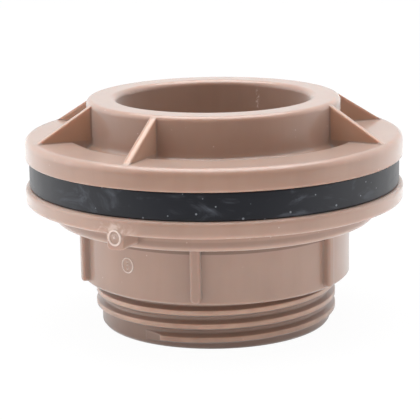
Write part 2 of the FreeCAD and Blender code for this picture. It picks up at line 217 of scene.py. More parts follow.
class EffectGroups:
    """Shader groups that several finishes share, each built once.

    The spans below are where each smooth step starts and ends.
    """

    FLECK_EDGE: Span = (0.14, 0.05)
    FLECK_CHOICE: Span = (0.90, 0.93)
    EDGE_TURN: Span = (0.98, 0.72)
    TURN_SAMPLES = 6
    CHIP_RANGE: Span = (0.40, 0.62)
    GRAIN_SHARE = 0.12
    PATCH_REACH: Span = (1.0, 0.35)
    PATCH_RAGS: Span = (0.44, 0.66)
    # patchiness of the painted highlight on the thread's crests
    PATCHY_RANGE: Span = (0.3, 0.7)
    PATCHY_SHARE = 0.4
    CREST_RISE: Span = (0.80, 0.97)
    ROOT_RISE: Span = (0.95, 0.55)
    ROOT_FLOOR: Span = (-0.3, -0.05)
    SPECK_LEAST = 0.05
    SPECK_SPREAD = 0.16
    SPECK_EDGE: Span = (0.0, 0.05)
    SMEAR_RANGE: Span = (0.50, 0.76)

    @staticmethod
    def start(
        name: str,
        inputs: Sequence[Tuple[str, str, object]],
        outputs: Sequence[Tuple[str, str]],
    ) -> Tuple[NodeSheet, bpy.types.Node, bpy.types.Node]:
        """Opens a new group with named sockets.

        Args:
            name: The group's name.
            inputs: Name, socket type and first value of each input.
            outputs: Name and socket type of each output.

        Returns:
            The group's sheet, its input node and its output node.
        """
        tree = bpy.data.node_groups.new(name, "ShaderNodeTree")
        for label, kind, value in inputs:
            socket = tree.interface.new_socket(name=label, in_out="INPUT", socket_type=kind)
            socket.default_value = value
        for label, kind in outputs:
            tree.interface.new_socket(name=label, in_out="OUTPUT", socket_type=kind)
        sheet = NodeSheet(tree)
        return sheet, sheet.add("NodeGroupInput"), sheet.add("NodeGroupOutput")

    @cache
    def mottle(self) -> bpy.types.NodeTree:
        """Builds the slow change of tone of a moulded plastic, with faint flow streaks.

        Returns:
            The group's tree.
        """
        sheet, given, made = self.start(
            "moulded_mottle",
            [("Scale", "NodeSocketFloat", 60.0), ("Streak", "NodeSocketFloat", 0.4)],
            [("Tone", "NodeSocketFloat"), ("Speckle", "NodeSocketFloat")],
        )
        place = sheet.add("ShaderNodeTexCoord")
        cloud = sheet.add("ShaderNodeTexNoise", Detail=3.0, Roughness=0.55)
        sheet.link(place.outputs["Object"], cloud.inputs["Vector"])
        sheet.link(given.outputs["Scale"], cloud.inputs["Scale"])
        squash = sheet.add("ShaderNodeMapping", Scale=(1.0, 1.0, 0.12))
        sheet.link(place.outputs["Object"], squash.inputs["Vector"])
        flow = sheet.add("ShaderNodeTexNoise", Scale=330.0, Detail=2.0, Distortion=0.6)
        sheet.link(squash.outputs["Vector"], flow.inputs["Vector"])
        streak = sheet.times(sheet.minus(flow.outputs[0], 0.5), given.outputs["Streak"])
        tone = sheet.plus(cloud.outputs[0], streak, clamp=True)
        sheet.link(tone, made.inputs["Tone"])
        fleck = sheet.add("ShaderNodeTexVoronoi", Scale=900.0, Randomness=1.0)
        sheet.link(place.outputs["Object"], fleck.inputs["Vector"])
        near = sheet.ramp(fleck.outputs["Distance"], *self.FLECK_EDGE)
        rare = sheet.add("ShaderNodeSeparateColor")
        sheet.link(fleck.outputs["Color"], rare.inputs[0])
        chosen = sheet.ramp(rare.outputs[0], *self.FLECK_CHOICE)
        sheet.link(sheet.times(near, chosen), made.inputs["Speckle"])
        return sheet.tree

    @cache
    def worn_edge(self) -> bpy.types.NodeTree:
        """Builds a mask that is high along the sharp edges of a piece.

        Returns:
            The group's tree.
        """
        sheet, given, made = self.start(
            "worn_edge",
            [("Reach", "NodeSocketFloat", 0.0005), ("Break", "NodeSocketFloat", 0.5)],
            [("Mask", "NodeSocketFloat")],
        )
        soft = sheet.add("ShaderNodeBevel", {"samples": self.TURN_SAMPLES})
        sheet.link(given.outputs["Reach"], soft.inputs["Radius"])
        plain = sheet.add("ShaderNodeNewGeometry")
        turn = sheet.add("ShaderNodeVectorMath", {"operation": "DOT_PRODUCT"})
        sheet.link(soft.outputs["Normal"], turn.inputs[0])
        sheet.link(plain.outputs["Normal"], turn.inputs[1])
        edge = sheet.ramp(turn.outputs["Value"], *self.EDGE_TURN)
        place = sheet.add("ShaderNodeTexCoord")
        chips = sheet.add("ShaderNodeTexNoise", Scale=420.0, Detail=3.0)
        sheet.link(place.outputs["Object"], chips.inputs["Vector"])
        gap = sheet.times(sheet.ramp(chips.outputs[0], *self.CHIP_RANGE), given.outputs["Break"])
        sheet.link(sheet.times(edge, sheet.minus(1.0, gap)), made.inputs["Mask"])
        return sheet.tree

    @cache
    def skin(self) -> bpy.types.NodeTree:
        """Builds the fine skin of a moulded surface as a height and a change of gloss.

        Returns:
            The group's tree.
        """
        sheet, given, made = self.start(
            "moulded_skin",
            [("Grain", "NodeSocketFloat", 1500.0), ("Ripple", "NodeSocketFloat", 110.0)],
            [("Height", "NodeSocketFloat"), ("Gloss", "NodeSocketFloat")],
        )
        place = sheet.add("ShaderNodeTexCoord")
        grain = sheet.add("ShaderNodeTexNoise", Detail=2.0)
        sheet.link(place.outputs["Object"], grain.inputs["Vector"])
        sheet.link(given.outputs["Grain"], grain.inputs["Scale"])
        ripple = sheet.add("ShaderNodeTexNoise", Detail=1.0)
        sheet.link(place.outputs["Object"], ripple.inputs["Vector"])
        sheet.link(given.outputs["Ripple"], ripple.inputs["Scale"])
        fine = sheet.times(grain.outputs[0], self.GRAIN_SHARE)
        sheet.link(sheet.plus(ripple.outputs[0], fine), made.inputs["Height"])
        sheet.link(ripple.outputs[0], made.inputs["Gloss"])
        return sheet.tree

    @cache
    def patch(self) -> bpy.types.NodeTree:
        """Builds a ragged pale patch round a point, as a gate or rubbing leaves it, or a painted
        highlight.

        Returns:
            The group's tree.
        """
        sheet, given, made = self.start(
            "pale_patch",
            [("Centre", "NodeSocketVector", (0.0, 0.0, 0.0)),
             ("Spread", "NodeSocketVector", (1.0, 1.0, 1.0)),
             ("Ragged", "NodeSocketFloat", 600.0)],
            [("Mask", "NodeSocketFloat")],
        )
        place = sheet.add("ShaderNodeTexCoord")
        away = sheet.add("ShaderNodeVectorMath", {"operation": "SUBTRACT"})
        sheet.link(place.outputs["Object"], away.inputs[0])
        sheet.link(given.outputs["Centre"], away.inputs[1])
        ratio = sheet.add("ShaderNodeVectorMath", {"operation": "DIVIDE"})
        sheet.link(away.outputs[0], ratio.inputs[0])
        sheet.link(given.outputs["Spread"], ratio.inputs[1])
        far = sheet.add("ShaderNodeVectorMath", {"operation": "LENGTH"})
        sheet.link(ratio.outputs[0], far.inputs[0])
        noise = sheet.add("ShaderNodeTexNoise", Detail=3.0, Distortion=1.2)
        sheet.link(place.outputs["Object"], noise.inputs["Vector"])
        sheet.link(given.outputs["Ragged"], noise.inputs["Scale"])
        inside = sheet.ramp(far.outputs["Value"], *self.PATCH_REACH)
        ragged = sheet.ramp(noise.outputs[0], *self.PATCH_RAGS)
        sheet.link(sheet.times(inside, ragged), made.inputs["Mask"])
        return sheet.tree

    @cache
    def ring_zone(self) -> bpy.types.NodeTree:
        """Builds the mask of a ring-shaped stretch of a turned piece.

        Returns:
            The group's tree.
        """
        sheet, given, made = self.start(
            "ring_zone",
            [(label, "NodeSocketFloat", 0.0)
             for label in ("Inner", "Outer", "Low", "High", "Fade")],
            [("Mask", "NodeSocketFloat")],
        )
        radius, level = sheet.turned()
        inside = [
            sheet.minus(radius, given.outputs["Inner"]),
            sheet.minus(given.outputs["Outer"], radius),
            sheet.minus(level, given.outputs["Low"]),
            sheet.minus(given.outputs["High"], level),
        ]
        mask: object = 1.0
        for depth in inside:
            fade = sheet.math("DIVIDE", depth, given.outputs["Fade"])
            share = sheet.plus(fade, 1.0, clamp=True)
            mask = sheet.times(sheet.ramp(share, 0.0, 1.0), mask)
        sheet.link(mask, made.inputs["Mask"])
        return sheet.tree

    @cache
    def painted_thread_shading(self) -> bpy.types.NodeTree:
        """Builds painted light on an upright outer thread: highlights painted on the crests and
        shade painted in the roots.

        Returns:
            The group's tree.
        """
        sheet, given, made = self.start(
            "painted_thread_shading",
            [("Root", "NodeSocketFloat", 0.0200), ("Crest", "NodeSocketFloat", 0.0210),
             ("Top", "NodeSocketFloat", 0.03)],
            [("Crests", "NodeSocketFloat"), ("Roots", "NodeSocketFloat")],
        )
        radius, height = sheet.turned()
        depth = sheet.minus(given.outputs["Crest"], given.outputs["Root"])
        rise = sheet.math("DIVIDE", sheet.minus(radius, given.outputs["Root"]), depth)
        below = sheet.math("LESS_THAN", height, given.outputs["Top"])
        place = sheet.add("ShaderNodeTexCoord")
        paint_node = sheet.add("ShaderNodeTexNoise", Scale=240.0, Detail=2.0)
        sheet.link(place.outputs["Object"], paint_node.inputs["Vector"])
        uneven = sheet.times(sheet.ramp(paint_node.outputs[0], *self.PATCHY_RANGE), self.PATCHY_SHARE)
        patchy = sheet.plus(uneven, 1.0 - self.PATCHY_SHARE)
        crests = sheet.times(sheet.ramp(rise, *self.CREST_RISE), below)
        sheet.link(sheet.times(crests, patchy), made.inputs["Crests"])
        low = sheet.times(sheet.ramp(rise, *self.ROOT_RISE), sheet.ramp(rise, *self.ROOT_FLOOR))
        sheet.link(sheet.times(low, below), made.inputs["Roots"])
        return sheet.tree

    @cache
    def dust(self) -> bpy.types.NodeTree:
        """Builds fine dust and faint rub smears on a dark surface.

        Returns:
            The group's tree.
        """
        sheet, given, made = self.start(
            "dust_and_rub",
            [("Size", "NodeSocketFloat", 520.0), ("Amount", "NodeSocketFloat", 0.12),
             ("Smear", "NodeSocketFloat", 0.5)],
            [("Specks", "NodeSocketFloat"), ("Smears", "NodeSocketFloat")],
        )
        place = sheet.add("ShaderNodeTexCoord")
        cells = sheet.add("ShaderNodeTexVoronoi", Randomness=1.0)
        sheet.link(place.outputs["Object"], cells.inputs["Vector"])
        sheet.link(given.outputs["Size"], cells.inputs["Scale"])
        pick = sheet.add("ShaderNodeSeparateColor")
        sheet.link(cells.outputs["Color"], pick.inputs[0])
        chosen = sheet.math("LESS_THAN", pick.outputs[0], given.outputs["Amount"])
        reach = sheet.plus(sheet.times(pick.outputs[1], self.SPECK_SPREAD), self.SPECK_LEAST)
        inner = sheet.minus(reach, cells.outputs["Distance"])
        dot = sheet.ramp(inner, *self.SPECK_EDGE)
        sheet.link(sheet.times(dot, chosen), made.inputs["Specks"])
        stretch = sheet.add("ShaderNodeMapping", Scale=(1.0, 1.0, 2.2))
        sheet.link(place.outputs["Object"], stretch.inputs["Vector"])
        cloud = sheet.add("ShaderNodeTexNoise", Scale=95.0, Detail=5.0, Roughness=0.62,
                          Distortion=1.6)
        sheet.link(stretch.outputs["Vector"], cloud.inputs["Vector"])
        smear = sheet.times(sheet.ramp(cloud.outputs[0], *self.SMEAR_RANGE), given.outputs["Smear"])
        sheet.link(smear, made.inputs["Smears"])
        return sheet.tree


def blank_material(name: str) -> Tuple[bpy.types.Material, NodeSheet]:
    """Makes an empty material and the sheet to fill it.

    Args:
        name: The material's name.

    Returns:
        The material and its sheet.
    """
    material = bpy.data.materials.new(name)
    material.use_nodes = True
    material.node_tree.nodes.clear()
    return material, NodeSheet(material.node_tree)


@dataclass(frozen=True)
class PalePatch:
    """A ragged pale patch on a moulding."""

    centre: Point
    spread: Point
    strength: float
    ragged: float


@dataclass(frozen=True)
class RingZone:
    """A ring-shaped stretch of a turned piece, with how strongly an effect acts there."""

    inner: float
    outer: float
    low: float
    high: float
    amount: float
    fade: float = 0.25 * MM

    def mask(self, sheet: NodeSheet, groups: EffectGroups) -> bpy.types.NodeSocket:
        """Adds the mask of the zone, softened at its borders.

        Args:
            sheet: The material's sheet.
            groups: The shared effects.

        Returns:
            The mask's socket, from 0 outside to the amount inside.
        """
        zone = sheet.group(groups.ring_zone(), Inner=self.inner, Outer=self.outer,
                           Low=self.low, High=self.high, Fade=self.fade)
        return sheet.times(zone.outputs["Mask"], self.amount)


@dataclass(frozen=True)
class PaintedThreadShading:
    """Painted highlights on the crests and painted shade in the roots of an outer thread."""

    root: float
    crest: float
    top: float
    # shares of the painted highlight on the crests and of the painted shade in the roots
    crest_highlight: float = 0.60
    root_shade: float = 0.30


@dataclass(frozen=True)
class MouldedPlastic:
    """Glossy moulded plastic in a warm pinkish tan that lets a little light in."""

    name: str
    deep: Colour = (0.298, 0.173, 0.122)
    light: Colour = (0.334, 0.198, 0.141)
    pale: Colour = (0.74, 0.60, 0.53)
    # colours of painted shade, of the painted highlight on thread crests and of the painted glow in
    # lit-through walls
    painted_shade: Colour = (0.150, 0.078, 0.050)
    painted_highlight: Colour = (0.64, 0.41, 0.30)
    painted_glow: Colour = (0.405, 0.215, 0.128)
    mottle_scale: float = 60.0
    tone_range: Span = (0.30, 0.72)
    speckle_share: float = 0.45
    roughness: float = 0.46
    gloss_swing: float = 0.10
    coat: float = 0.8
    coat_roughness: float = 0.17
    coat_round: float = 0.80 * MM
    sheen: float = 0.40
    sheen_roughness: float = 0.45
    edge_reach: float = 0.25 * MM
    edge_round: float = 0.30 * MM
    edge_share: float = 0.10
    bump_strength: float = 0.12
    bump_depth: float = 0.25 * MM
    glow: float = 0.45
    glow_reach: float = 1.8 * MM
    glow_tint: Colour = (1.0, 0.42, 0.25)
    patches: Tuple[PalePatch, ...] = ()
    thread: Optional[PaintedThreadShading] = None
    soft_edges: Tuple[RingZone, ...] = ()
    # painted shade bands, and walls with a painted warm glow
    shade_bands: Tuple[RingZone, ...] = ()
    glow_walls: Tuple[RingZone, ...] = ()

    def make(self, groups: EffectGroups) -> bpy.types.Material:
        """Builds the finish.

        Args:
            groups: The shared effects.

        Returns:
            The finished material.
        """
        material, sheet = blank_material(self.name)
        skin = sheet.group(groups.skin())
        swing = sheet.times(sheet.minus(skin.outputs["Gloss"], 0.5), self.gloss_swing)
        glaze = sheet.add("ShaderNodeBevel", {"samples": EDGE_SAMPLES}, Radius=self.coat_round)
        surface = sheet.add("ShaderNodeBsdfPrincipled", IOR=SURFACE_IOR,
                            Subsurface_Weight=self.glow, Subsurface_Radius=self.glow_tint,
                            Subsurface_Scale=self.glow_reach,
                            Coat_Weight=self.coat, Coat_Roughness=self.coat_roughness,
                            Sheen_Weight=self.sheen, Sheen_Roughness=self.sheen_roughness)
        sheet.link(self._colour(sheet, groups), surface.inputs["Base Color"])
        sheet.link(sheet.plus(swing, self.roughness, clamp=True), surface.inputs["Roughness"])
        sheet.link(self._normal(sheet, groups, skin.outputs["Height"]), surface.inputs["Normal"])
        sheet.link(glaze.outputs["Normal"], surface.inputs["Coat Normal"])
        sheet.close(surface)
        return material

    def _colour(self, sheet: NodeSheet, groups: EffectGroups) -> bpy.types.NodeSocket:
        """Adds the mottled colour with its patches, the thread's painted highlights and shade,
        walls with a painted warm glow, painted shade bands and pale edges.

        Args:
            sheet: The material's sheet.
            groups: The shared effects.

        Returns:
            The colour's socket.
        """
        mottle = sheet.group(groups.mottle(), Scale=self.mottle_scale)
        tone = sheet.ramp(mottle.outputs["Tone"], *self.tone_range)
        colour = sheet.mix(tone, self.deep, self.light)
        speckle = sheet.times(mottle.outputs["Speckle"], self.speckle_share)
        colour = sheet.mix(speckle, colour, self.pale)
        for patch in self.patches:
            spot = sheet.group(groups.patch(), Centre=patch.centre, Spread=patch.spread,
                               Ragged=patch.ragged)
            share = sheet.times(spot.outputs["Mask"], patch.strength)
            colour = sheet.mix(share, colour, self.pale)
        # painted light on the thread: highlights painted on the crests, shade painted in the roots
        if self.thread is not None:
            paint_node = sheet.group(groups.painted_thread_shading(), Root=self.thread.root,
                               Crest=self.thread.crest, Top=self.thread.top)
            root_shade = sheet.times(paint_node.outputs["Roots"], self.thread.root_shade)
            colour = sheet.mix(root_shade, colour, self.painted_shade)
            crest_highlight = sheet.times(paint_node.outputs["Crests"], self.thread.crest_highlight)
            colour = sheet.mix(crest_highlight, colour, self.painted_highlight)
        # painted glow: walls tinted warmer, standing in for light let through them
        for wall in self.glow_walls:
            colour = sheet.mix(wall.mask(sheet, groups), colour, self.painted_glow)
        # painted shade in bands
        for band in self.shade_bands:
            colour = sheet.mix(band.mask(sheet, groups), colour, self.painted_shade)
        edge = sheet.group(groups.worn_edge(), Reach=self.edge_reach)
        return sheet.mix(sheet.times(edge.outputs["Mask"], self.edge_share), colour, self.pale)

    def _normal(self, sheet: NodeSheet, groups: EffectGroups,
                height: bpy.types.NodeSocket) -> bpy.types.NodeSocket:
        """Adds the surface normal: rounded edges, rounder in the soft zones, under a fine skin.

        Args:
            sheet: The material's sheet.
            groups: The shared effects.
            height: The skin's height.

        Returns:
            The normal's socket.
        """
        rounded = sheet.add("ShaderNodeBevel", {"samples": EDGE_SAMPLES}, Radius=self.edge_round)
        width: object = self.edge_round
        for zone in self.soft_edges:
            width = sheet.plus(width, zone.mask(sheet, groups))
        if self.soft_edges:
            sheet.link(width, rounded.inputs["Radius"])
        bump = sheet.add("ShaderNodeBump", Strength=self.bump_strength, Distance=self.bump_depth)
        sheet.link(height, bump.inputs["Height"])
        sheet.link(rounded.outputs["Normal"], bump.inputs["Normal"])
        return bump.outputs["Normal"]


@dataclass(frozen=True)
class DustyRubber:
    """Black rubber with dust specks and rub smears."""

    name: str
    deep: Colour = (0.0028, 0.0038, 0.0080)
    light: Colour = (0.0060, 0.0078, 0.0152)
    dust: Colour = (0.15, 0.16, 0.18)
    smear: Colour = (0.080, 0.088, 0.108)
    mottle_scale: float = 140.0
    speck_scale: float = 950.0
    speck_amount: float = 0.38
    smear_share: float = 0.75
    smear_roughness: float = 0.35
    grain_scale: float = 2600.0
    ripple_scale: float = 260.0
    roughness: float = 0.42
    gloss_swing: float = 0.10
    bump_strength: float = 0.18
    bump_depth: float = 0.2 * MM
    specular: float = 0.38
    coat: float = 0.38
    coat_roughness: float = 0.22

    def make(self, groups: EffectGroups) -> bpy.types.Material:
        """Builds the finish.

        Args:
            groups: The shared effects.

        Returns:
            The finished material.
        """
        material, sheet = blank_material(self.name)
        mottle = sheet.group(groups.mottle(), Scale=self.mottle_scale)
        dust = sheet.group(groups.dust(), Size=self.speck_scale, Amount=self.speck_amount,
                           Smear=self.smear_share)
        colour = sheet.mix(mottle.outputs["Tone"], self.deep, self.light)
        colour = sheet.mix(dust.outputs["Smears"], colour, self.smear)
        colour = sheet.mix(dust.outputs["Specks"], colour, self.dust)
        skin = sheet.group(groups.skin(), Grain=self.grain_scale, Ripple=self.ripple_scale)
        dull = sheet.times(dust.outputs["Smears"], self.smear_roughness)
        swing = sheet.times(skin.outputs["Gloss"], self.gloss_swing)
        rough = sheet.plus(swing, sheet.plus(dull, self.roughness), clamp=True)
        bump = sheet.add("ShaderNodeBump", Strength=self.bump_strength, Distance=self.bump_depth)
        sheet.link(skin.outputs["Height"], bump.inputs["Height"])
        surface = sheet.add("ShaderNodeBsdfPrincipled", IOR=SURFACE_IOR,
                            Specular_IOR_Level=self.specular,
                            Coat_Weight=self.coat, Coat_Roughness=self.coat_roughness)
        sheet.link(colour, surface.inputs["Base Color"])
        sheet.link(rough, surface.inputs["Roughness"])
        sheet.link(bump.outputs["Normal"], surface.inputs["Normal"])
        sheet.close(surface)
        return material


@dataclass(frozen=True)
class RaisedMark:
    """A small raised ring with a row of dots inside, laid on a flat or round wall."""

    name: str
    width: float
    height: float
    bead: float
    distance: float
    curve: float
    bearing: float
    level: float
    dots: int
    dot_pitch: float

    def tree(self) -> bpy.types.NodeTree:
        """Finds or builds the tree that makes such a mark from its named sizes.

        Returns:
            The geometry tree.
        """
        known = bpy.data.node_groups.get("raised_mark")
        if known is not None:
            return known
        tree = bpy.data.node_groups.new("raised_mark", "GeometryNodeTree")
        for label in ("Width", "Height", "Bead", "Distance",
                      "Curve", "Bearing", "Level", "Dot Pitch"):
            tree.interface.new_socket(name=label, in_out="INPUT", socket_type="NodeSocketFloat")
        tree.interface.new_socket(name="Dots", in_out="INPUT", socket_type="NodeSocketInt")
        tree.interface.new_socket(name="Finish", in_out="INPUT", socket_type="NodeSocketMaterial")
        tree.interface.new_socket(name="Mark", in_out="OUTPUT", socket_type="NodeSocketGeometry")
        sheet = NodeSheet(tree)
        given = sheet.add("NodeGroupInput")
        made = sheet.add("NodeGroupOutput")
        ring = self._ring(sheet, given)
        dots = self._dots(sheet, given)
        join = sheet.add("GeometryNodeJoinGeometry")
        sheet.link(dots, join.inputs[0])
        sheet.link(ring, join.inputs[0])
        whole = sheet.add("GeometryNodeRealizeInstances")
        sheet.link(join.outputs[0], whole.inputs[0])
        wrapped = self._wrap(sheet, given, whole.outputs[0])
        smooth = sheet.add("GeometryNodeSetShadeSmooth")
        sheet.link(wrapped, smooth.inputs["Geometry"])
        finish = sheet.add("GeometryNodeSetMaterial")
        sheet.link(smooth.outputs[0], finish.inputs["Geometry"])
        sheet.link(given.outputs["Finish"], finish.inputs["Material"])
        sheet.link(finish.outputs[0], made.inputs[0])
        return tree

    def _ring(self, sheet: NodeSheet, given: bpy.types.Node) -> bpy.types.NodeSocket:
        """Adds the bead that runs round an oval, flat in the x and z plane.

        Args:
            sheet: The tree's sheet.
            given: The tree's inputs.

        Returns:
            The bead's socket.
        """
        path = sheet.add("GeometryNodeCurvePrimitiveCircle", Resolution=40, Radius=1.0)
        size = sheet.add("ShaderNodeCombineXYZ", Z=1.0)
        sheet.link(sheet.times(given.outputs["Width"], 0.5), size.inputs["X"])
        sheet.link(sheet.times(given.outputs["Height"], 0.5), size.inputs["Y"])
        oval = sheet.add("GeometryNodeTransform", Rotation=(0.5 * math.pi, 0.0, 0.0))
        sheet.link(path.outputs["Curve"], oval.inputs["Geometry"])
        sheet.link(size.outputs[0], oval.inputs["Scale"])
        section = sheet.add("GeometryNodeCurvePrimitiveCircle", Resolution=10)
        sheet.link(given.outputs["Bead"], section.inputs["Radius"])
        bead = sheet.add("GeometryNodeCurveToMesh")
        sheet.link(oval.outputs[0], bead.inputs["Curve"])
        sheet.link(section.outputs["Curve"], bead.inputs["Profile Curve"])
        return bead.outputs[0]

    def _dots(self, sheet: NodeSheet, given: bpy.types.Node) -> bpy.types.NodeSocket:
        """Adds a short upright row of plain dots.

        Args:
            sheet: The tree's sheet.
            given: The tree's inputs.

        Returns:
            The dots' socket.
        """
        step = sheet.add("ShaderNodeCombineXYZ")
        sheet.link(given.outputs["Dot Pitch"], step.inputs["Z"])
        start = sheet.add("ShaderNodeCombineXYZ")
        spare = sheet.times(sheet.minus(given.outputs["Dots"], 1.0), -0.5)
        sheet.link(sheet.times(spare, given.outputs["Dot Pitch"]), start.inputs["Z"])
        row = sheet.add("GeometryNodeMeshLine", {"mode": "OFFSET"})
        sheet.link(given.outputs["Dots"], row.inputs["Count"])
        sheet.link(start.outputs[0], row.inputs["Start Location"])
        sheet.link(step.outputs[0], row.inputs["Offset"])
        dot = sheet.add("GeometryNodeMeshIcoSphere", Subdivisions=2)
        sheet.link(sheet.times(given.outputs["Bead"], DOT_TO_BEAD), dot.inputs["Radius"])
        copies = sheet.add("GeometryNodeInstanceOnPoints")
        sheet.link(row.outputs[0], copies.inputs["Points"])
        sheet.link(dot.outputs["Mesh"], copies.inputs["Instance"])
        return copies.outputs[0]

    def _wrap(self, sheet: NodeSheet, given: bpy.types.Node,
              flat: bpy.types.NodeSocket) -> bpy.types.NodeSocket:
        """Lays the flat mark on the wall: x runs round, z up and y inwards.

        Args:
            sheet: The tree's sheet.
            given: The tree's inputs.
            flat: The flat mark.

        Returns:
            The laid mark's socket.
        """
        here = sheet.add("ShaderNodeSeparateXYZ")
        sheet.link(sheet.add("GeometryNodeInputPosition").outputs[0], here.inputs[0])
        curve = given.outputs["Curve"]
        turn = sheet.math("DIVIDE", here.outputs["X"], curve)
        reach = sheet.minus(curve, here.outputs["Y"])
        out = sheet.minus(sheet.times(reach, sheet.math("COSINE", turn)), curve)
        out = sheet.plus(out, given.outputs["Distance"])
        side = sheet.times(reach, sheet.math("SINE", turn))
        cosine = sheet.math("COSINE", given.outputs["Bearing"])
        sine = sheet.math("SINE", given.outputs["Bearing"])
        laid = sheet.add("ShaderNodeCombineXYZ")
        east = sheet.minus(sheet.times(out, cosine), sheet.times(side, sine))
        north = sheet.plus(sheet.times(out, sine), sheet.times(side, cosine))
        sheet.link(east, laid.inputs["X"])
        sheet.link(north, laid.inputs["Y"])
        sheet.link(sheet.plus(here.outputs["Z"], given.outputs["Level"]), laid.inputs["Z"])
        move = sheet.add("GeometryNodeSetPosition")
        sheet.link(flat, move.inputs["Geometry"])
        sheet.link(laid.outputs[0], move.inputs["Position"])
        return move.outputs[0]

    def build(self, finish: bpy.types.Material) -> bpy.types.Object:
        """Makes the mark as a plain mesh object at the origin.

        Args:
            finish: The mark's material.

        Returns:
            The finished piece.
        """
        holder = bpy.data.objects.new(self.name, bpy.data.meshes.new(self.name))
        bpy.context.scene.collection.objects.link(holder)
        modifier = holder.modifiers.new("mark", "NODES")
        modifier.node_group = self.tree()
        values = {"Width": self.width, "Height": self.height, "Bead": self.bead,
                  "Distance": self.distance, "Curve": self.curve, "Bearing": self.bearing,
                  "Level": self.level, "Dot Pitch": self.dot_pitch, "Dots": self.dots,
                  "Finish": finish}
        for item in modifier.node_group.interface.items_tree:
            if item.in_out == "INPUT":
                modifier[item.identifier] = values[item.name]
        graph = bpy.context.evaluated_depsgraph_get()
        mesh = bpy.data.meshes.new_from_object(holder.evaluated_get(graph))
        holder.modifiers.clear()
        holder.data = mesh
        mesh.name = self.name
        return holder


@dataclass(frozen=True)
class ConnectorBody:
    """The ribbed flange with its hub, socket and threaded tail."""

    rim_level: float = 39.1 * MM
    rim_radius: float = 19.0 * MM
    socket_radius: float = 16.75 * MM
    streak_bearing: float = math.radians(61.5)
    streak_level: float = 36.2 * MM
    tail_root: float = 20.0 * MM
    tail_crest: float = 20.955 * MM
    flange_level: float = 29.26 * MM
    flange_edge: RingZone = RingZone(inner=30.6 * MM, outer=33.0 * MM, low=31.1 * MM,
                                     high=33.2 * MM, amount=1.9 * MM)
    hub_foot: RingZone = RingZone(inner=21.5 * MM, outer=23.2 * MM, low=31.6 * MM,
                                  high=33.6 * MM, amount=1.2 * MM)
    rib_edges: RingZone = RingZone(inner=22.3 * MM, outer=32.0 * MM, low=33.4 * MM,
                                   high=39.5 * MM, amount=0.6 * MM)
    # painted glow: the ribs tinted warmer, standing in for light through them
    rib_glow: RingZone = RingZone(inner=22.2 * MM, outer=32.0 * MM, low=33.3 * MM,
                                   high=39.5 * MM, amount=0.85)

    def finish(self) -> MouldedPlastic:
        """Gives the moulding's finish: a pale rubbing mark, a painted rim highlight, painted light
        and shade on the thread, soft edges and warm ribs with a painted glow.
        """
        streak = (self.socket_radius * math.cos(self.streak_bearing),
                  self.socket_radius * math.sin(self.streak_bearing), self.streak_level)
        wall_rub = PalePatch(centre=streak, spread=(0.45 * MM, 0.9 * MM, 2.4 * MM),
                             strength=0.9, ragged=900.0)
        # painted highlight: a pale patch along the back of the rim
        rim_highlight = PalePatch(centre=(0.0, self.rim_radius, self.rim_level),
                            spread=(15.0 * MM, 3.0 * MM, 0.7 * MM), strength=0.12, ragged=260.0)
        return MouldedPlastic(
            name="connector_plastic",
            patches=(wall_rub, rim_highlight),
            # painted highlight on the thread's crests, painted shade in its roots
            thread=PaintedThreadShading(self.tail_root, self.tail_crest, self.flange_level),
            soft_edges=(self.flange_edge, self.hub_foot, self.rib_edges),
            glow_walls=(self.rib_glow,),
        )

    def dress(self, groups: EffectGroups) -> None:
        """Puts the finish on the moulding.

        Args:
            groups: The shared effects.
        """
        dress_node(Piece.CONNECTOR_BODY, self.finish().make(groups))


@dataclass(frozen=True)
class SealingRing:
    """The thick rubber ring under the flange."""

    def dress(self, groups: EffectGroups) -> None:
        """Puts the finish on the ring.

        Args:
            groups: The shared effects.
        """
        dress_node(Piece.SEALING_RING, DustyRubber("ring_rubber").make(groups))


